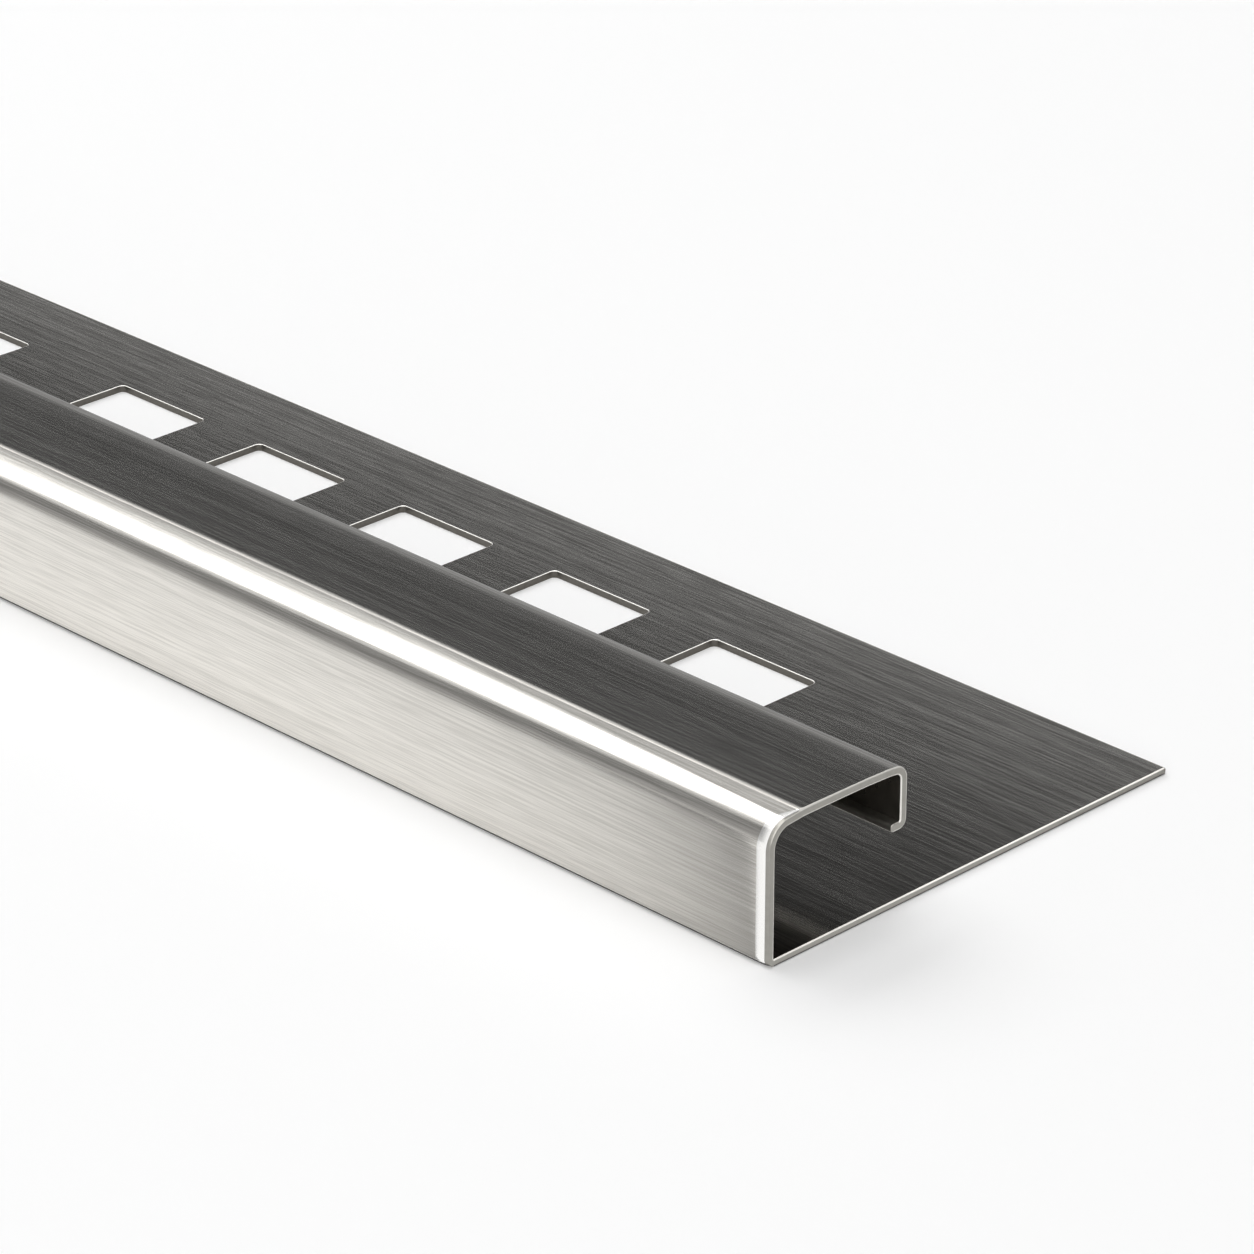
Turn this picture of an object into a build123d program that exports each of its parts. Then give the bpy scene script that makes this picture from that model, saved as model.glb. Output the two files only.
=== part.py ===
from build123d import *
import os

# Square edge trim for tiles, folded from one strip of brushed stainless sheet:
# a box-shaped bar with an open slot under its rear flange, on a perforated anchoring leg.
# +X runs along the bar, +Y from the visible front face to the free edge of the leg, +Z up.
# The origin is at the middle of the underside. All sizes are in millimetres.

# Strip and bar
sheet = 0.6  # thickness of the strip
length = 1000.0  # cut length of the stock
height = 11.0  # underside of the leg to the top face
depth = 13.5  # front face to the face that the tile meets
leg_width = 41.2  # front face to the free edge of the leg
flange_drop = 5.05  # top face to the underside of the lip
lip_return = 1.5  # face that the tile meets to the tip of the lip

# Inside radii of the four folds
foot_fold = 0.1
front_fold = 1.6
rear_fold = 0.65
lip_fold = 0.1

# Perforation of the leg: rectangular holes in groups, counted from the +X end
hole_length = 10.6
hole_width = 12.2
hole_corner = 0.45
hole_bridge = 6.8  # metal between two holes of a group
group_bridge = 12.4  # metal between two groups
group_size = 5
end_margin = 27.2  # metal outside the first hole, and at least that outside the last

# Rounding where the strip was slit, cut off and punched
slit_round = 0.2
cut_round = 0.2
rim_round = 0.12

front_y = -leg_width / 2
tile_y = front_y + depth
free_y = front_y + leg_width
lip_z = height - flange_drop
hole_row_y = (tile_y + free_y) / 2


def hole_centres():
    """Middle of every hole, from the +X end on, while a whole end margin is left behind it."""
    centres = []
    start = end_margin
    while start + hole_length <= length - end_margin:
        centres.append((length / 2 - start - hole_length / 2, hole_row_y))
        bridge = hole_bridge if len(centres) % group_size else group_bridge
        start += hole_length + bridge
    return centres


with BuildPart() as edge_trim:
    # Outer faces of the folded strip, from the slit edge of the leg to the tip of the lip
    with BuildSketch(Plane.YZ):
        with BuildLine():
            FilletPolyline(
                (free_y, 0),
                (front_y, 0),
                (front_y, height),
                (tile_y, height),
                (tile_y, lip_z),
                (tile_y - lip_return, lip_z),
                radius=[sheet + fold for fold in (foot_fold, front_fold, rear_fold, lip_fold)],
            )
            offset(amount=sheet, side=Side.RIGHT)
        section = make_face()
        leg_tip = section.vertices().group_by(Axis.X)[-1]
        lip_tip = section.vertices().sort_by_distance((tile_y - lip_return, lip_z))[0:2]
        fillet(leg_tip + lip_tip, slit_round)
    extrude(amount=length / 2, both=True)

    # Rounded rim of each cut end
    ends = edge_trim.faces().filter_by(Axis.X).sort_by(Axis.X)
    fillet(ends[0].edges() + ends[-1].edges(), cut_round)

    # Perforation, through the leg only
    with BuildSketch(Plane.XY):
        with Locations(*hole_centres()):
            RectangleRounded(hole_length, hole_width, hole_corner)
    extrude(amount=sheet, mode=Mode.SUBTRACT)

    hole_walls = edge_trim.faces(Select.LAST).filter_by(Plane.XY, reverse=True)
    fillet(hole_walls.edges().filter_by(Axis.Z, reverse=True), rim_round)

edge_trim.part.label = "edge_trim"

os.makedirs("parts", exist_ok=True)
export_step(edge_trim.part, "parts/edge_trim.step")
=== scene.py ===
import math

import bpy
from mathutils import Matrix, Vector


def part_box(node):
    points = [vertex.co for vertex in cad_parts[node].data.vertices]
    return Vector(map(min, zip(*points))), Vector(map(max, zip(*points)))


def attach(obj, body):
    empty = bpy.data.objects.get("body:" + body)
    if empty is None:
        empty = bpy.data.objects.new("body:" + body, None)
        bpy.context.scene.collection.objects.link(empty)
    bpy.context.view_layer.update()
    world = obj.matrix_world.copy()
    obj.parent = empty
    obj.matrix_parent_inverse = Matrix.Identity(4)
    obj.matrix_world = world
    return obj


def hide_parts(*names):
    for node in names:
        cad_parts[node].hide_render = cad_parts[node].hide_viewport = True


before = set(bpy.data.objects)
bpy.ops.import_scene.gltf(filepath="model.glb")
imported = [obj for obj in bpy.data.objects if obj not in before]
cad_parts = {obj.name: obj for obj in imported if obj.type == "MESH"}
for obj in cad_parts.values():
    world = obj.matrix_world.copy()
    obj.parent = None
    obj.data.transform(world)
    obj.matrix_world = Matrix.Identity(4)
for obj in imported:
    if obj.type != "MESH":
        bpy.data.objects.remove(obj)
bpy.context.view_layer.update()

MM = 0.001

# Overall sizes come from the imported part, in millimetres. Y 0 is the front face, Z 0 the underside.
NODE = "edge_trim"
low_corner, high_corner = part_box(NODE)
LENGTH = (high_corner.x - low_corner.x) / MM
LEG_WIDTH = (high_corner.y - low_corner.y) / MM
HEIGHT = (high_corner.z - low_corner.z) / MM
FRONT_Y = low_corner.y / MM

# Folded strip, with inside radii
SHEET = 0.6
DEPTH = 13.5
FLANGE_DROP = 5.05
LIP_RETURN = 1.5
FOOT_FOLD = 0.1
FRONT_FOLD = 1.6
REAR_FOLD = 0.55
LIP_FOLD = 0.1

# The folding tool leaves the front fold a little open. Its last degrees run out on a wide arc, up to the
# faint crease that the tool's nose pressed along the top face. Near a cut end, where the strip is buffed,
# the fold closes sooner and runs flat up to the crease. Towards the rear fold the top face falls away by
# two or three degrees, and that fold starts gently. Angles are in degrees. A nose is its fold angle, and
# the run-out's angle, radius and flat length.
PLAIN_NOSE = (81.0, 5.0, 16.0, 0.02)
END_NOSE = (71.0, 14.3, 0.9, 1.2)
NOSE_CHANGE = 45.0  # length of bar over which one nose turns into the other
NOSE_STEPS = 20
RUN_OUT_STEPS = 3
CREASE_STEPS = 3
CREASE_ANGLE = 4.0
CREASE_RADIUS = 1.2
CREASE_WIDTH = 0.05
CREASE_OUT_RADIUS = 2.6
FALL_ANGLE = 2.6
FALL_RADIUS = 85.0
RUN_IN_ANGLE = 5.9
RUN_IN_RADIUS = 8.8

# Perforation of the leg
HOLE_LENGTH = 10.6
HOLE_WIDTH = 12.2
HOLE_CORNER = 0.45
HOLE_BRIDGE = 6.8
GROUP_BRIDGE = 12.4
GROUP_SIZE = 5
END_MARGIN = 27.2
CELL_MARGIN = 1.4  # metal that is meshed together with each hole
HOLE_ROW_Y = (DEPTH + LEG_WIDTH) / 2

# Rounding of slit, cut and punched edges. At the ends the front face and its fold are buffed down further,
# in a band that narrows from FULL_BAND_Y on and ends at BAND_END_Y on the top face. The band's near-white
# colour is a painted highlight.
SLIT_ROUND = 0.2
CUT_ROUND = 0.09
UNDERSIDE_ROUND = 0.2
RIM_ROUND = 0.055
BAND_LENGTH = 1.14
BAND_DEPTH = 0.16
FULL_BAND_Y = 0.9
BAND_END_Y = 3.6

# How finely the mesh is divided. Of each rounding's steps, the first BAND_STEPS show the band.
FOLD_STEP = math.radians(4)
ROUND_STEPS = 6
CORNER_STEPS = 6
BAND_STEPS = 3
QUARTER_TURN = [math.radians(90) * step / ROUND_STEPS for step in range(ROUND_STEPS + 1)]

# The second and third stations of the strip lie on either side of the row of holes.
FAR_OF_HOLES, NEAR_OF_HOLES = 1, 2

# Telling the strip's faces apart: the least share of a normal that looks a given way, straight, half or
# just turned; the least share of the band that is worth its finish; how fast the band fades under the foot
# fold; and the height that the leg keeps under
LOOKS_STRAIGHT = 0.9
LOOKS_HALF = 0.5
LOOKS_JUST = 0.01
BAND_FROM = 0.05
BAND_FADE_UNDER = 6.0
LEG_TOP = 1.2 * SHEET


def srgb(code):
    """A hex colour such as #c8c6c2 as linear red, green, blue and alpha."""
    values = [int(code[i:i + 2], 16) / 255 for i in (1, 3, 5)]
    return [v / 12.92 if v <= 0.04045 else ((v + 0.055) / 1.055) ** 2.4 for v in values] + [1.0]


class Station:
    """One place along the strip: a point of the outer face and the way that face looks there."""

    def __init__(self, y, z, heading):
        self.y, self.z, self.heading = y, z, heading
        self.out = (-math.sin(heading), math.cos(heading))
        self.ahead = (math.cos(heading), math.sin(heading))


def run_straight(stations, length):
    last = stations[-1]
    stations.append(Station(last.y + length * last.ahead[0], last.z + length * last.ahead[1], last.heading))


def run_fold(stations, degrees, outer_radius, steps=None):
    """Turns the strip towards its inner face in short steps, or away from it by negative degrees."""
    last = stations[-1]
    reach = math.copysign(outer_radius, degrees)
    centre = (last.y - reach * last.out[0], last.z - reach * last.out[1])
    steps = steps or max(2, round(abs(math.radians(degrees)) / FOLD_STEP))
    for step in range(1, steps + 1):
        heading = last.heading - math.radians(degrees) * step / steps
        out = (-math.sin(heading), math.cos(heading))
        stations.append(Station(centre[0] + reach * out[0], centre[1] + reach * out[1], heading))


def lay_strip(nose, wall, cover):
    """Stations from the slit edge of the leg, round the bar, to the tip of the lip. Wall and cover are the
    straight lengths of the front face and of the top face."""
    fold_angle, run_out_angle, run_out_radius, run_out_flat = nose
    foot, front, rear, lip = (SHEET + fold for fold in (FOOT_FOLD, FRONT_FOLD, REAR_FOLD, LIP_FOLD))
    far_of_holes = HOLE_ROW_Y + HOLE_WIDTH / 2 + CELL_MARGIN
    near_of_holes = HOLE_ROW_Y - HOLE_WIDTH / 2 - CELL_MARGIN

    stations = [Station(LEG_WIDTH - SLIT_ROUND, 0, math.pi)]
    run_straight(stations, LEG_WIDTH - SLIT_ROUND - far_of_holes)
    run_straight(stations, far_of_holes - near_of_holes)
    run_straight(stations, near_of_holes - foot)
    run_fold(stations, 90, foot)
    run_straight(stations, wall)
    run_fold(stations, fold_angle, front, NOSE_STEPS)
    run_fold(stations, run_out_angle, run_out_radius, RUN_OUT_STEPS)
    run_straight(stations, run_out_flat)
    run_fold(stations, -CREASE_ANGLE, CREASE_RADIUS, CREASE_STEPS)
    run_straight(stations, CREASE_WIDTH)
    run_fold(stations, 90 - fold_angle - run_out_angle + CREASE_ANGLE, CREASE_OUT_RADIUS, CREASE_STEPS)
    run_straight(stations, cover)
    run_fold(stations, FALL_ANGLE, FALL_RADIUS)
    run_fold(stations, RUN_IN_ANGLE, RUN_IN_RADIUS)
    run_fold(stations, 90 - FALL_ANGLE - RUN_IN_ANGLE, rear)
    flange = len(stations) - 1
    run_straight(stations, stations[flange].z - (HEIGHT - FLANGE_DROP) - lip)
    run_fold(stations, 90, lip)
    run_straight(stations, LIP_RETURN - lip - SLIT_ROUND)
    return stations, flange


def folded_strip(nose):
    """Stations of the strip, with the straight lengths that give the bar its height and depth. A first
    strip with lengths that are too long shows how much they have to lose."""
    too_long, flange = lay_strip(nose, HEIGHT, DEPTH)
    wall = HEIGHT - (max(station.z for station in too_long) - HEIGHT)
    cover = DEPTH - (too_long[flange].y - DEPTH)
    return lay_strip(nose, wall, cover)[0]


def hole_starts():
    """Distance of each hole's near side from the +X end."""
    starts = []
    start = END_MARGIN
    while start + HOLE_LENGTH <= LENGTH - END_MARGIN:
        starts.append(start)
        start += HOLE_LENGTH + (HOLE_BRIDGE if len(starts) % GROUP_SIZE else GROUP_BRIDGE)
    return starts


class Shell:
    """Points with their exact normals, and faces with the finish that each shows."""

    def __init__(self):
        self.points, self.normals, self.faces, self.finishes = [], [], [], []

    def point(self, place, normal):
        self.points.append((place[0] * MM, (place[1] + FRONT_Y) * MM, place[2] * MM))
        self.normals.append(Vector(normal).normalized())
        return len(self.points) - 1

    def face(self, corners, finish):
        """Adds a face, turned so that it looks the way its points' normals do."""
        middle = sum((self.normals[c] for c in corners), Vector())
        flat = Vector()
        for a, b in zip(corners, corners[1:] + corners[:1]):
            flat += Vector(self.points[a]).cross(Vector(self.points[b]))
        self.faces.append(corners if flat.dot(middle) > 0 else corners[::-1])
        self.finishes.append(finish)


# Finishes, in the order of the mesh's materials
# BAND, BRIGHT_RIM and HOLE_RIM are near white as painted highlights; INSIDE and PUNCHED are darker partly
# from painted shade.
FACE, COVER, LEG, INSIDE, BAND, RIM, BRIGHT_RIM, CUT, HOLE_RIM, PUNCHED = range(10)


def section_loop(stations):
    """The closed outline of the section: (y, z, outward y, outward z) from the outer face of the leg's
    slit edge, round the outer face, the lip's tip, the inner face and the leg's tip."""
    def tip(station, ahead):
        corner_y = station.y - SLIT_ROUND * station.out[0]
        corner_z = station.z - SLIT_ROUND * station.out[1]
        far_y = station.y - (SHEET - SLIT_ROUND) * station.out[0]
        far_z = station.z - (SHEET - SLIT_ROUND) * station.out[1]
        rows = []
        for centre, first, second in (((corner_y, corner_z), station.out, ahead),
                                      ((far_y, far_z), ahead, (-station.out[0], -station.out[1]))):
            for turn in QUARTER_TURN:
                ny = first[0] * math.cos(turn) + second[0] * math.sin(turn)
                nz = first[1] * math.cos(turn) + second[1] * math.sin(turn)
                rows.append((centre[0] + SLIT_ROUND * ny, centre[1] + SLIT_ROUND * nz, ny, nz))
        return rows[1:-1]

    outer = [(s.y, s.z, s.out[0], s.out[1]) for s in stations]
    inner = [(s.y - SHEET * s.out[0], s.z - SHEET * s.out[1], -s.out[0], -s.out[1])
             for s in reversed(stations)]
    lip_tip = tip(stations[-1], stations[-1].ahead)
    leg_tip = tip(stations[0], (-stations[0].ahead[0], -stations[0].ahead[1]))[::-1]
    return outer + lip_tip + inner + leg_tip


class Section:
    """The strip's closed outline, away from the cut ends and near them, and where its points lie."""

    def __init__(self):
        stations = folded_strip(PLAIN_NOSE)
        self.plain = section_loop(stations)
        self.near_end = section_loop(folded_strip(END_NOSE))
        self.count = len(self.plain)
        self.outer_count = len(stations)
        self.tip_count = self.count // 2 - self.outer_count
        self.inner_start = self.outer_count + self.tip_count

    def at(self, x):
        """The outline at this place along the bar, between the plain one and the one near the ends."""
        share = max(0.0, 1 - (LENGTH / 2 - abs(x)) / NOSE_CHANGE)
        return [tuple(p + (e - p) * share for p, e in zip(plain, near_end))
                for plain, near_end in zip(self.plain, self.near_end)]

    def behind(self, i):
        """The inner face's point behind this point of the outer face."""
        return self.inner_start + self.outer_count - 1 - i

    def steps_into_tip(self, i):
        """How many steps inside the lip's or the leg's rounded tip the face after point i lies, or 0."""
        for start in (self.outer_count - 1, self.behind(0)):
            if start <= i <= start + self.tip_count:
                return min(i - start, start + self.tip_count - i) + 1
        return 0

    def finish(self, i, into_end):
        """The finish of the face after point i, this many steps inside the rounding of a cut end."""
        point, following = self.plain[i], self.plain[(i + 1) % self.count]
        into_tip = self.steps_into_tip(i)
        on_lip_tip = self.outer_count - 1 <= i <= self.inner_start
        on_leg = point[1] < LEG_TOP and following[0] > SHEET
        underside = on_leg and i < self.outer_count
        on_top = i < self.outer_count and point[3] > LOOKS_HALF
        buffed = min(band_share(*point), band_share(*following)) > BAND_FROM
        if on_lip_tip or into_tip > BAND_STEPS:
            return CUT
        if into_end and (underside or buffed and into_end > BAND_STEPS):
            return CUT
        # The band's near-white finish is a painted highlight.
        if into_end and buffed:
            return BAND
        if into_tip or into_end and on_top:
            return RIM
        # The cut end's remaining rims: near white, a painted highlight.
        if into_end:
            return BRIGHT_RIM
        if on_leg:
            return LEG
        if i >= self.inner_start:
            return INSIDE
        return FACE if point[0] < BAND_END_Y else COVER


def band_share(y, z, ny, nz):
    """How much of the buffed band there is at this point of the section, from 0 to 1."""
    if nz < 0:
        return min(1.0, max(0.0, -BAND_FADE_UNDER * ny)) if y < SHEET else 0.0
    if ny > LOOKS_JUST or z < 2 * SHEET and ny > -LOOKS_STRAIGHT:
        return 0.0
    return min(1.0, max(0.0, (BAND_END_Y - y) / (BAND_END_Y - FULL_BAND_Y)))


def edge_round(y, z, ny, nz):
    """How far the rounding of a cut end reaches along the bar and into the sheet at this point."""
    share = band_share(y, z, ny, nz)
    plain = UNDERSIDE_ROUND if nz < -LOOKS_STRAIGHT and z < SHEET / 2 else CUT_ROUND
    return plain + (BAND_LENGTH - plain) * share, plain + (BAND_DEPTH - plain) * share


def flat_row(shell, section, x):
    """The points of the cross-section at this place along the bar."""
    return [shell.point((x, y, z), (0, ny, nz)) for y, z, ny, nz in section.at(x)]


def rounded_row(shell, section, end, turn):
    """The points of one ring of a cut end's rounding, -1 or +1. A full quarter turn is at the cut face."""
    row = []
    for y, z, ny, nz in section.at(LENGTH / 2):
        reach, depth = edge_round(y, z, ny, nz)
        x = end * (LENGTH / 2 - reach * (1 - math.sin(turn)))
        inset = depth * (1 - math.cos(turn))
        normal = (end * depth * math.sin(turn), ny * reach * math.cos(turn), nz * reach * math.cos(turn))
        row.append(shell.point((x, y - inset * ny, z - inset * nz), normal))
    return row


def add_long_faces(shell, section, row, following, into_end, at_hole):
    """The faces between two cross-sections, left open at a hole's cell."""
    open_faces = (FAR_OF_HOLES, section.behind(NEAR_OF_HOLES)) if at_hole else ()
    for i in range(section.count):
        if i not in open_faces:
            j = (i + 1) % section.count
            shell.face([row[i], row[j], following[j], following[i]], section.finish(i, into_end))


def add_cut_face(shell, section, row):
    """A quad between each two outer points and the inner points behind them, and the two tips."""
    for i in range(section.outer_count - 1):
        shell.face([row[i], row[i + 1], row[section.behind(i + 1)], row[section.behind(i)]], CUT)
    shell.face(row[section.outer_count - 1:section.inner_start + 1], CUT)
    shell.face(row[section.behind(0):] + row[:1], CUT)


def hole_outline(centre, spread):
    """Points (x, y, outward x, outward y) of a hole's outline, anticlockwise from +x, grown by spread."""
    radius = HOLE_CORNER + spread
    half_x = HOLE_LENGTH / 2 - HOLE_CORNER
    half_y = HOLE_WIDTH / 2 - HOLE_CORNER
    rows = []
    for quarter, (side_x, side_y) in enumerate(((1, 1), (-1, 1), (-1, -1), (1, -1))):
        for step in range(CORNER_STEPS + 1):
            angle = math.radians(90) * (quarter + step / CORNER_STEPS)
            ox, oy = math.cos(angle), math.sin(angle)
            rows.append((centre[0] + side_x * half_x + radius * ox,
                         centre[1] + side_y * half_y + radius * oy, ox, oy))
    return rows


def rim_ring(shell, centre, up, turn):
    """The points of one ring of a hole's rim, on the upper or lower face, 1 or -1. A full quarter turn is at
    the wall."""
    sunk = RIM_ROUND * (1 - math.cos(turn))
    z = SHEET - sunk if up > 0 else sunk
    ring = []
    for x, y, ox, oy in hole_outline(centre, RIM_ROUND * (1 - math.sin(turn))):
        normal = (-ox * math.sin(turn), -oy * math.sin(turn), up * math.cos(turn))
        ring.append(shell.point((x, y, z), normal))
    return ring


def add_hole(shell, section, row, following, centre):
    """Rounded rims, a punched wall, and the flat metal of the hole's cell on both faces of the leg."""
    rings = [rim_ring(shell, centre, 1, turn) for turn in QUARTER_TURN]
    rings += [rim_ring(shell, centre, -1, turn) for turn in reversed(QUARTER_TURN)]
    for step, (upper, lower) in enumerate(zip(rings, rings[1:])):
        finish = HOLE_RIM if step < ROUND_STEPS else PUNCHED
        for i in range(len(upper)):
            j = (i + 1) % len(upper)
            shell.face([upper[i], upper[j], lower[j], lower[i]], finish)

    # Cell corners in the order of the hole's corners: +x+y, -x+y, -x-y, +x-y
    per_corner = CORNER_STEPS + 1
    for ring, far, near in ((rings[0], section.behind(FAR_OF_HOLES), section.behind(NEAR_OF_HOLES)),
                            (rings[-1], FAR_OF_HOLES, NEAR_OF_HOLES)):
        corners = [following[far], row[far], row[near], following[near]]
        for side in range(4):
            first = side * per_corner + CORNER_STEPS // 2
            arc = [ring[k % len(ring)] for k in range(first, first + per_corner + 1)]
            shell.face([corners[side]] + arc + [corners[(side + 1) % 4]], LEG)


def build_bar(shell):
    """Cross-sections from the -X end to the +X end: the rings of each rounding, and two at each hole."""
    section = Section()
    cells = [(LENGTH / 2 - start - HOLE_LENGTH - CELL_MARGIN, LENGTH / 2 - start + CELL_MARGIN)
             for start in reversed(hole_starts())]
    rows = [rounded_row(shell, section, -1, turn) for turn in reversed(QUARTER_TURN)]
    first_cell = len(rows)
    rows += [flat_row(shell, section, x) for cell in cells for x in cell]
    after_cells = len(rows)
    rows += [rounded_row(shell, section, 1, turn) for turn in QUARTER_TURN]
    cell_rows = range(first_cell, after_cells, 2)

    for r, (row, following) in enumerate(zip(rows, rows[1:])):
        into_end = max(first_cell - 1 - r, r + 1 - after_cells, 0)
        add_long_faces(shell, section, row, following, into_end, r in cell_rows)
    for row in (rows[0], rows[-1]):
        add_cut_face(shell, section, row)
    for r, (x_low, x_high) in zip(cell_rows, cells):
        add_hole(shell, section, rows[r], rows[r + 1], ((x_low + x_high) / 2, HOLE_ROW_Y))


def add_node(tree, kind, inputs=None, **settings):
    """Adds a node, sets its properties, and gives each named input a plain value or a link."""
    node = tree.nodes.new(kind)
    for name, value in settings.items():
        setattr(node, name, value)
    for name, value in (inputs or {}).items():
        if isinstance(value, bpy.types.NodeSocket):
            tree.links.new(value, node.inputs[name])
        else:
            node.inputs[name].default_value = value
    return node


def new_material(name):
    material = bpy.data.materials.new(name)
    material.use_nodes = True
    material.node_tree.nodes.clear()
    return material, material.node_tree


def grain(tree, length, width):
    """Noise drawn out along the bar: streaks of about this length and width in millimetres."""
    place = add_node(tree, "ShaderNodeTexCoord").outputs["Object"]
    stretch = add_node(tree, "ShaderNodeMapping", {
        "Vector": place, "Scale": (1 / (length * MM), 1 / (width * MM), 1 / (width * MM))})
    noise = add_node(tree, "ShaderNodeTexNoise", {
        "Vector": stretch.outputs["Vector"], "Scale": 1.0, "Detail": 0.0})
    return noise.outputs["Fac"]


# Long-grain brushed austenitic stainless steel, belt-ground along the bar. Lights smear across the grain,
# and fine streaks run along it. The real scratches are about 0.03 mm wide and don't show at this distance,
# so the streaks are drawn 0.07 to 0.13 mm wide.
STREAK_RANGE = (0.7, 1.3)  # the two kinds of streak together lie between these
SCRATCH_DEPTH = 0.0002
GRAIN_SMEAR = 0.6


def brushed_stainless(name, light, dark, streaks, dull_near, dull_far, unevenness):
    """The brushed faces. Streaks are (length, width) in millimetres, a short and a long kind. Roughness
    goes from dull_near at the bar to dull_far at the leg's free edge, where the belt presses unevenly."""
    material, tree = new_material(name)
    low, high = STREAK_RANGE
    short, long = (grain(tree, *size) for size in streaks)
    both = add_node(tree, "ShaderNodeMath", {0: short, 1: long}, operation="ADD").outputs[0]
    tone = add_node(tree, "ShaderNodeMapRange", {
        "Value": both, "From Min": low, "From Max": high, "To Min": 0.0, "To Max": 1.0})
    shade = add_node(tree, "ShaderNodeMix", {
        "Factor": tone.outputs["Result"], 6: srgb(dark), 7: srgb(light)}, data_type="RGBA")

    # Dullness: a slow change across the leg, and the same streaks
    place = add_node(tree, "ShaderNodeSeparateXYZ", {
        "Vector": add_node(tree, "ShaderNodeTexCoord").outputs["Object"]}).outputs["Y"]
    across_leg = add_node(tree, "ShaderNodeMapRange", {
        "Value": place, "From Min": (FRONT_Y + DEPTH) * MM, "From Max": (FRONT_Y + LEG_WIDTH) * MM,
        "To Min": dull_near, "To Max": dull_far})
    uneven = add_node(tree, "ShaderNodeMapRange", {
        "Value": both, "From Min": low, "From Max": high,
        "To Min": 1 - unevenness, "To Max": 1 + unevenness})
    rough = add_node(tree, "ShaderNodeMath", {
        0: across_leg.outputs["Result"], 1: uneven.outputs["Result"]}, operation="MULTIPLY")

    scratches = add_node(tree, "ShaderNodeBump", {
        "Height": both, "Distance": SCRATCH_DEPTH * MM, "Strength": 1.0})
    along_bar = add_node(tree, "ShaderNodeTangent", direction_type="RADIAL", axis="X")
    steel = add_node(tree, "ShaderNodeBsdfPrincipled", {
        "Base Color": shade.outputs[2], "Metallic": 1.0, "Roughness": rough.outputs[0],
        "Anisotropic": GRAIN_SMEAR, "Tangent": along_bar.outputs["Tangent"],
        "Normal": scratches.outputs["Normal"]})
    add_node(tree, "ShaderNodeOutputMaterial", {"Surface": steel.outputs["BSDF"]})
    return material


MOTTLE_RANGE = (0.3, 0.7)
MOTTLE_DETAIL = 3.0
MOTTLE_DULLNESS = 0.1


def worked_stainless(name, light, dark, roughness, mottle_size):
    """The same steel where a tool or the mill left it: no grain, but a fine mottle in tone and dullness."""
    material, tree = new_material(name)
    place = add_node(tree, "ShaderNodeTexCoord").outputs["Object"]
    mottle = add_node(tree, "ShaderNodeTexNoise", {
        "Vector": place, "Scale": 1 / (mottle_size * MM), "Detail": MOTTLE_DETAIL}).outputs["Fac"]
    shade = add_node(tree, "ShaderNodeMix", {
        "Factor": mottle, 6: srgb(dark), 7: srgb(light)}, data_type="RGBA")
    low, high = MOTTLE_RANGE
    rough = add_node(tree, "ShaderNodeMapRange", {
        "Value": mottle, "From Min": low, "From Max": high,
        "To Min": roughness * (1 - MOTTLE_DULLNESS), "To Max": roughness * (1 + MOTTLE_DULLNESS)})
    steel = add_node(tree, "ShaderNodeBsdfPrincipled", {
        "Base Color": shade.outputs[2], "Metallic": 1.0, "Roughness": rough.outputs["Result"]})
    add_node(tree, "ShaderNodeOutputMaterial", {"Surface": steel.outputs["BSDF"]})
    return material


def make_edge_trim():
    shell = Shell()
    build_bar(shell)
    mesh = bpy.data.meshes.new("folded_steel_strip")
    mesh.from_pydata(shell.points, [], shell.faces)
    for polygon, finish in zip(mesh.polygons, shell.finishes):
        polygon.material_index = finish
        polygon.use_smooth = True
    for material in (
        brushed_stainless("brushed_stainless_face", "#e9e6e0", "#d2cfc9", ((3.5, 0.07), (40.0, 0.08)),
                          0.155, 0.155, 0.06),
        brushed_stainless("brushed_stainless_cover", "#e6e4e0", "#c8c6c2", ((4.0, 0.09), (16.0, 0.13)),
                          0.155, 0.155, 0.03),
        brushed_stainless("brushed_stainless_leg", "#e0deda", "#b6b4b0", ((3.5, 0.09), (12.0, 0.13)),
                          0.133, 0.211, 0.04),
        # The inner face keeps the mill's cold-rolled finish: duller, and greyer, partly from the mill and
        # partly as painted shade of the channel.
        worked_stainless("cold_rolled_inside_with_painted_shade", "#9e9a93", "#898580", 0.30, 1.2),
        # The front corner of each end is buffed on a cloth wheel: the smoothest steel, and near white,
        # whiter than steel, as a painted highlight.
        worked_stainless("buffed_band_painted_highlight", "#fcfbf9", "#f6f5f2", 0.18, 0.5),
        # Rims are broken with a fine file, most where they face away: bright, and dull enough to show as a
        # thin even line.
        worked_stainless("filed_stainless_rim", "#cbc9c5", "#bfbdb9", 0.85, 0.4),
        # Elsewhere on the cut ends the rims are near white: a painted highlight.
        worked_stainless("filed_inner_rim_painted_highlight", "#f0eeea", "#e6e4e0", 0.80, 0.4),
        # Cut ends are sheared and lightly ground: matt and greyer.
        worked_stainless("sheared_stainless_end", "#a5a39d", "#908e88", 0.40, 0.35),
        # The punch draws the rims of the holes over: half smooth, and near white as a painted highlight.
        worked_stainless("punched_rim_painted_highlight", "#fbf9f5", "#f1efeb", 0.45, 0.30),
        # Hole walls are half sheared, half torn by the punch, with a brown trace of oil; their darkness is
        # partly painted shade of the holes.
        worked_stainless("punched_wall_with_painted_shade", "#77746e", "#5c5954", 0.40, 0.30),
    ):
        mesh.materials.append(material)
    mesh.normals_split_custom_set_from_vertices(shell.normals)
    strip = bpy.data.objects.new("folded_steel_strip", mesh)
    bpy.context.scene.collection.objects.link(strip)
    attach(strip, "root")
    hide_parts(NODE)
    return strip


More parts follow.
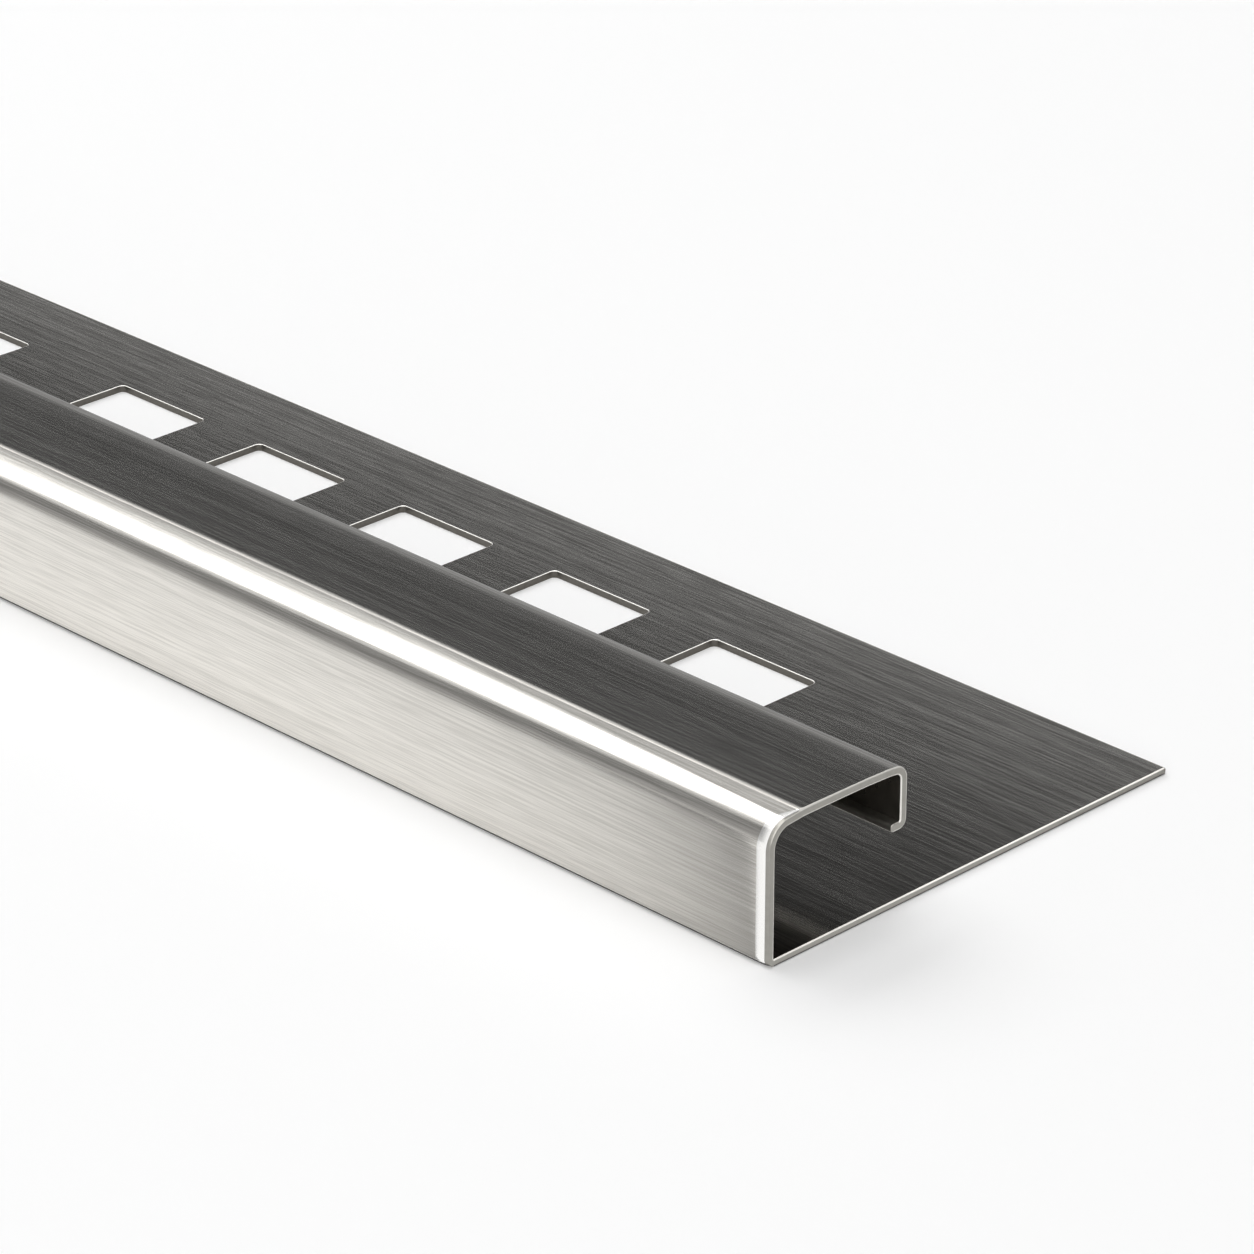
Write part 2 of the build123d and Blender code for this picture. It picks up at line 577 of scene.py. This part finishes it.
# Where the photographer stood, from the near bottom corner of the front face, in millimetres and degrees
CAMERA_OFFSET = (212.3, -222.9, 171.2)
CAMERA_AZIMUTH = 45.35
CAMERA_ELEVATION = 25.35
CAMERA_LENS = 150.94


def near_corner():
    return Vector((high_corner.x, low_corner.y, 0))


def make_camera():
    data = bpy.data.cameras.new("camera")
    data.lens = CAMERA_LENS
    data.sensor_width = 36
    data.clip_start = 0.01
    camera = bpy.data.objects.new("camera", data)
    camera.location = near_corner() + Vector(CAMERA_OFFSET) * MM
    camera.rotation_euler = (math.radians(90 - CAMERA_ELEVATION), 0, math.radians(CAMERA_AZIMUTH))
    bpy.context.scene.collection.objects.link(camera)
    bpy.context.scene.camera = camera


def add_lamp(name, place, width, height, radiance):
    """A level, soft, rectangular lamp at a place in metres from the seen corner. Radiance 1 is white."""
    data = bpy.data.lights.new(name, "AREA")
    data.shape = "RECTANGLE"
    data.size, data.size_y = width, height
    data.energy = radiance * math.pi * width * height
    lamp = bpy.data.objects.new(name, data)
    lamp.location = near_corner() + place
    bpy.context.scene.collection.objects.link(lamp)
    return lamp


def add_softbox(name, place, width, height, radiance, on_floor=True):
    """A lamp that faces the seen corner. If it isn't on the floor, it only draws its shine in the metal."""
    lamp = add_lamp(name, place, width, height, radiance)
    lamp.rotation_euler = place.to_track_quat("Z", "Y").to_euler()
    lamp.visible_diffuse = on_floor


def towards(azimuth, elevation, distance):
    """A place at this angle from the object. Azimuth 0 is in front of the bar, 90 is off its +X end."""
    a, e = math.radians(azimuth), math.radians(elevation)
    return distance * Vector((math.sin(a) * math.cos(e), -math.cos(a) * math.cos(e), math.sin(e)))


# The overhead banks, in metres from the seen corner: their height, their length along the bar and where
# the middle of that length lies
BANK_HEIGHT = 1.5
BANK_LENGTH = 1.9
BANK_MIDDLE = -1.8


def add_overhead_bank(name, first_angle, last_angle, radiance):
    """A bank of soft light above the bar's left part, level with the floor. It spans these angles round the
    bar, from 0 in front to 180 behind, so that its reflection runs straight along the fold."""
    front = -BANK_HEIGHT / math.tan(math.radians(first_angle))
    back = -BANK_HEIGHT / math.tan(math.radians(last_angle))
    place = Vector((BANK_MIDDLE, (front + back) / 2, BANK_HEIGHT))
    add_lamp(name, place, BANK_LENGTH, back - front, radiance)


# The floor: its paint, how much it glows where it is seen, and its reach to each side in metres
FLOOR_PAINT = "#ececec"
FLOOR_LIFT = 0.14
FLOOR_REACH = 6.0


def make_floor():
    """Plain white floor. It keeps the object's shadow, and looks white to the camera and in the metal."""
    mesh = bpy.data.meshes.new("floor")
    corners = [(x * FLOOR_REACH, y * FLOOR_REACH, 0) for x, y in ((-1, -1), (1, -1), (1, 1), (-1, 1))]
    mesh.from_pydata(corners, [], [(0, 1, 2, 3)])
    material, tree = new_material("white_floor")
    paint = add_node(tree, "ShaderNodeBsdfDiffuse", {"Color": srgb(FLOOR_PAINT)})
    rays = add_node(tree, "ShaderNodeLightPath").outputs
    direct = add_node(tree, "ShaderNodeMath", {
        0: rays["Is Camera Ray"], 1: rays["Is Glossy Ray"]}, operation="MAXIMUM")
    seen = add_node(tree, "ShaderNodeMath", {
        0: direct.outputs[0], 1: rays["Is Transmission Ray"]}, operation="MAXIMUM")
    lift = add_node(tree, "ShaderNodeMath", {0: seen.outputs[0], 1: FLOOR_LIFT}, operation="MULTIPLY")
    glow = add_node(tree, "ShaderNodeEmission", {"Color": srgb("#ffffff"), "Strength": lift.outputs[0]})
    total = add_node(tree, "ShaderNodeAddShader", {0: paint.outputs[0], 1: glow.outputs[0]})
    add_node(tree, "ShaderNodeOutputMaterial", {"Surface": total.outputs[0]})
    mesh.materials.append(material)
    floor = bpy.data.objects.new("floor", mesh)
    bpy.context.scene.collection.objects.link(floor)


# The cards that lie round the bar, in metres. Card height is above the floor. The others are reaches from
# the seen corner: to the left, to the front, past the seen end, and how far back the white card goes; then
# the grey card's gap behind the leg, and its reach past the seen end.
CARD_HEIGHT = 0.00002
CARD_LEFT = 1.5
CARD_FRONT = 1.2
CARD_PAST_END = 0.05
WHITE_CARD_BACK = 0.03
GREY_CARD_GAP = 0.0003
GREY_CARD_PAST_END = 0.1

# The graded card before the bar, whose grey is painted shade and whose white a painted highlight in the
# front face and its band: how far out its grey starts and ends, and how dark it gets there; then how dark it
# is at the seen end, and over what length that fades; then where its white starts, and its slant
CARD_START = 0.006
CARD_END = 0.16
CARD_DARK = 0.30
CARD_END_DARK = 0.64
CARD_END_FADE = 0.014
WHITE_LINE_START = 0.001
WHITE_LINE_SLANT = 0.05

# The mirrored camera ray leaves a place on the front face or its fold at this slope, or from the fold's
# height, and goes to the left by this share of its length.
MIRROR_SLOPE = 0.6745
MIRROR_HEIGHT = 0.0098
MIRROR_SLANT = 0.839

# The narrow dark gap where the strip's rounded underside meets the floor, a contact shadow painted on dark
# cards that only metal sees: how far in from the front face it starts, how far short of the cut end it stops
# there, and where it lies under the cut end
GAP_IN = 0.0001
GAP_SHORT = 0.0002
GAP_UNDER_END = 0.0004
GAP_OUT = 0.0001


def add_card(name, corners, material):
    """A card laid flat by the bar, as a photographer lays one to model bright metal. Only metal sees it, in
    which its tone is painted shade or a painted highlight.
    """
    mesh = bpy.data.meshes.new(name)
    mesh.from_pydata([(x, y, CARD_HEIGHT) for x, y in corners], [], [(0, 1, 2, 3)])
    mesh.materials.append(material)
    card = bpy.data.objects.new(name, mesh)
    card.visible_camera = False
    card.visible_diffuse = False
    card.visible_shadow = False
    card.visible_transmission = False
    bpy.context.scene.collection.objects.link(card)


def graded_shade_and_highlight_card():
    """Clear near the bar, greyer farther out and towards the seen end, white past a slanting line there. In
    the front face its grey is painted shade, darkest towards the seen end, and its white a painted highlight
    along the band.
    """
    corner = near_corner()
    material, tree = new_material("graded_shade_and_highlight_card")
    place = add_node(tree, "ShaderNodeSeparateXYZ", {
        "Vector": add_node(tree, "ShaderNodeTexCoord").outputs["Object"]})
    away = add_node(tree, "ShaderNodeMath", {0: corner.y, 1: place.outputs["Y"]}, operation="SUBTRACT")
    reach = add_node(tree, "ShaderNodeMapRange", {
        "Value": away.outputs[0], "From Min": CARD_START, "From Max": CARD_END,
        "To Min": 0.0, "To Max": 1.0})
    reach = add_node(tree, "ShaderNodeMath", {0: reach.outputs["Result"], 1: 0.5}, operation="POWER")
    fade = add_node(tree, "ShaderNodeMath", {0: reach.outputs[0], 1: CARD_DARK}, operation="MULTIPLY")

    # Distance from the seen end of the place on the bar that mirrors this place of the card
    height = add_node(tree, "ShaderNodeMath", {0: away.outputs[0], 1: MIRROR_SLOPE}, operation="MULTIPLY")
    height = add_node(tree, "ShaderNodeMath", {0: height.outputs[0], 1: MIRROR_HEIGHT}, operation="MINIMUM")
    ray = add_node(tree, "ShaderNodeCombineXYZ", {"X": away.outputs[0], "Y": height.outputs[0]})
    ray = add_node(tree, "ShaderNodeVectorMath", {0: ray.outputs["Vector"]}, operation="LENGTH")
    along = add_node(tree, "ShaderNodeMath", {
        0: ray.outputs["Value"], 1: MIRROR_SLANT, 2: place.outputs["X"]}, operation="MULTIPLY_ADD")
    along = add_node(tree, "ShaderNodeMath", {0: along.outputs[0], 1: corner.x}, operation="SUBTRACT")
    end = add_node(tree, "ShaderNodeMath", {0: along.outputs[0], 1: CARD_END_FADE}, operation="DIVIDE")
    end = add_node(tree, "ShaderNodeMath", {0: end.outputs[0]}, operation="EXPONENT")
    end = add_node(tree, "ShaderNodeMath", {0: end.outputs[0], 1: CARD_END_DARK}, operation="MULTIPLY")
    shade = add_node(tree, "ShaderNodeMath", {
        0: fade.outputs[0], 1: end.outputs[0]}, operation="ADD", use_clamp=True)
    clear = add_node(tree, "ShaderNodeBsdfTransparent")
    grey = add_node(tree, "ShaderNodeBsdfDiffuse", {"Color": srgb("#202020")})
    graded = add_node(tree, "ShaderNodeMixShader", {
        0: shade.outputs[0], 1: clear.outputs[0], 2: grey.outputs[0]})
    white = add_node(tree, "ShaderNodeEmission", {"Color": srgb("#ffffff"), "Strength": 1.0})
    slant = add_node(tree, "ShaderNodeMath", {
        0: away.outputs[0], 1: -WHITE_LINE_SLANT, 2: along.outputs[0]}, operation="MULTIPLY_ADD")
    past_line = add_node(tree, "ShaderNodeMath", {
        0: slant.outputs[0], 1: -WHITE_LINE_START}, operation="GREATER_THAN")
    total = add_node(tree, "ShaderNodeMixShader", {
        0: past_line.outputs[0], 1: graded.outputs[0], 2: white.outputs[0]})
    add_node(tree, "ShaderNodeOutputMaterial", {"Surface": total.outputs[0]})
    return material


def plain_card(name, colour):
    """A card of one even tone, at that tone in the metal whatever light falls on it."""
    material, tree = new_material(name)
    glow = add_node(tree, "ShaderNodeEmission", {"Color": srgb(colour), "Strength": 1.0})
    add_node(tree, "ShaderNodeOutputMaterial", {"Surface": glow.outputs[0]})
    return material


def lay_card(name, left, right, front, back, material):
    add_card(name, [(left, front), (right, front), (right, back), (left, back)], material)


def lay_cards():
    """The graded card before the bar, a white one off its seen end, a mid-grey one behind the leg, and dark
    ones in the gap under the rounded edges. In the metal their grey and dark are painted shade and their
    white a painted highlight."""
    x, y = near_corner().x, near_corner().y
    under_foot = y + (SHEET + FOOT_FOLD) * MM
    leg_edge = y + LEG_WIDTH * MM
    behind = leg_edge + GREY_CARD_GAP
    # Dark cards only metal sees: a painted contact shadow under the rounded edges.
    gap = plain_card("painted_contact_shadow", "#101010")
    lay_card("graded_card", x - CARD_LEFT, x + CARD_PAST_END, y - CARD_FRONT, y, graded_shade_and_highlight_card())
    # A glowing card only metal sees: it paints a highlight into the band and the cut faces.
    lay_card("white_painted_highlight_card", x + GAP_OUT, x + CARD_PAST_END, y, y + WHITE_CARD_BACK,
             plain_card("white_painted_highlight_card", "#ffffff"))
    # A grey card only metal sees: it paints shade into the rear fold's reflection of the floor.
    lay_card("grey_card", x - CARD_LEFT, x + GREY_CARD_PAST_END, behind, behind + CARD_FRONT,
             plain_card("mid_grey_painted_shade_card", "#9a9a9a"))
    lay_card("shadow_card_under_foot", x - CARD_LEFT, x - GAP_SHORT, y + GAP_IN, under_foot, gap)
    lay_card("shadow_card_under_end", x - GAP_UNDER_END, x + GAP_OUT, under_foot, leg_edge, gap)


# Brightness of the studio round the bar, by the angle from the front horizon over the top to the back one.
# The dark band behind is what the flat top and the leg mirror.
STUDIO = ((0, 0.50), (12, 0.40), (27, 0.26), (45, 0.27), (136, 0.27), (140, 0.02), (149, 0.02),
          (157, 0.33), (180, 0.33))

# Where metal sees the white backdrop: from this share of the way towards the seen end until it is full, and
# round to this angle, the last degrees of which fade
BACKDROP_FROM = -0.57
BACKDROP_FULL = -0.46
BACKDROP_END = 120
BACKDROP_FADE = 8


def make_world():
    world = bpy.data.worlds.new("graded_studio")
    world.use_nodes = True
    tree = world.node_tree
    tree.nodes.clear()
    way = add_node(tree, "ShaderNodeSeparateXYZ", {
        "Vector": add_node(tree, "ShaderNodeTexCoord").outputs["Generated"]})
    forward = add_node(tree, "ShaderNodeMath", {0: way.outputs["Y"], 1: -1.0}, operation="MULTIPLY")
    angle = add_node(tree, "ShaderNodeMath", {
        0: way.outputs["Z"], 1: forward.outputs[0]}, operation="ARCTAN2")
    turn = add_node(tree, "ShaderNodeMath", {0: angle.outputs[0], 1: math.pi}, operation="DIVIDE")
    ramp = add_node(tree, "ShaderNodeValToRGB", {"Fac": turn.outputs[0]})
    elements = ramp.color_ramp.elements
    while len(elements) < len(STUDIO):
        elements.new(1.0)
    for element, (degrees, radiance) in zip(elements, STUDIO):
        element.position = degrees / 180
        element.color = (radiance, radiance, radiance, 1)
    studio = add_node(tree, "ShaderNodeBackground", {"Color": ramp.outputs["Color"], "Strength": 1.0})
    backdrop = add_node(tree, "ShaderNodeBackground", {"Color": srgb("#ffffff"), "Strength": 1.0})
    rays = add_node(tree, "ShaderNodeLightPath").outputs

    # The camera sees the white backdrop everywhere. Metal sees it on the side of the seen end, except low
    # behind, and light on its way to the floor doesn't.
    sideways = add_node(tree, "ShaderNodeMapRange", {
        "Value": way.outputs["X"], "From Min": BACKDROP_FROM, "From Max": BACKDROP_FULL,
        "To Min": 0.0, "To Max": 1.0})
    in_front = add_node(tree, "ShaderNodeMapRange", {
        "Value": angle.outputs[0], "From Min": math.radians(BACKDROP_END - BACKDROP_FADE),
        "From Max": math.radians(BACKDROP_END), "To Min": 1.0, "To Max": 0.0})
    beside = add_node(tree, "ShaderNodeMath", {
        0: sideways.outputs["Result"], 1: in_front.outputs["Result"]}, operation="MULTIPLY")
    in_metal = add_node(tree, "ShaderNodeMath", {
        0: rays["Is Glossy Ray"], 1: rays["Diffuse Depth"]}, operation="GREATER_THAN")
    mirrored = add_node(tree, "ShaderNodeMath", {
        0: beside.outputs[0], 1: in_metal.outputs[0]}, operation="MULTIPLY")
    seen = add_node(tree, "ShaderNodeMath", {
        0: mirrored.outputs[0], 1: rays["Is Camera Ray"]}, operation="MAXIMUM")
    room = add_node(tree, "ShaderNodeMixShader", {
        0: seen.outputs[0], 1: studio.outputs[0], 2: backdrop.outputs[0]})
    add_node(tree, "ShaderNodeOutputWorld", {"Surface": room.outputs[0]})
    bpy.context.scene.world = world


make_edge_trim()
make_floor()
lay_cards()
make_world()
make_camera()
add_overhead_bank("overhead_bank", 66, 126.5, 2.2)
add_overhead_bank("overhead_bank_fringe", 52, 137, 0.40)
add_softbox("top_softbox", towards(0, 89, 3.0), 2.0, 2.0, 2.4)
add_softbox("front_softbox", towards(28, 36, 2.5), 1.8, 2.6, 2.0)
add_softbox("rim_softbox", towards(150, 44, 2.5), 1.8, 1.8, 2.0, on_floor=False)

bpy.context.scene.view_settings.view_transform = "Standard"
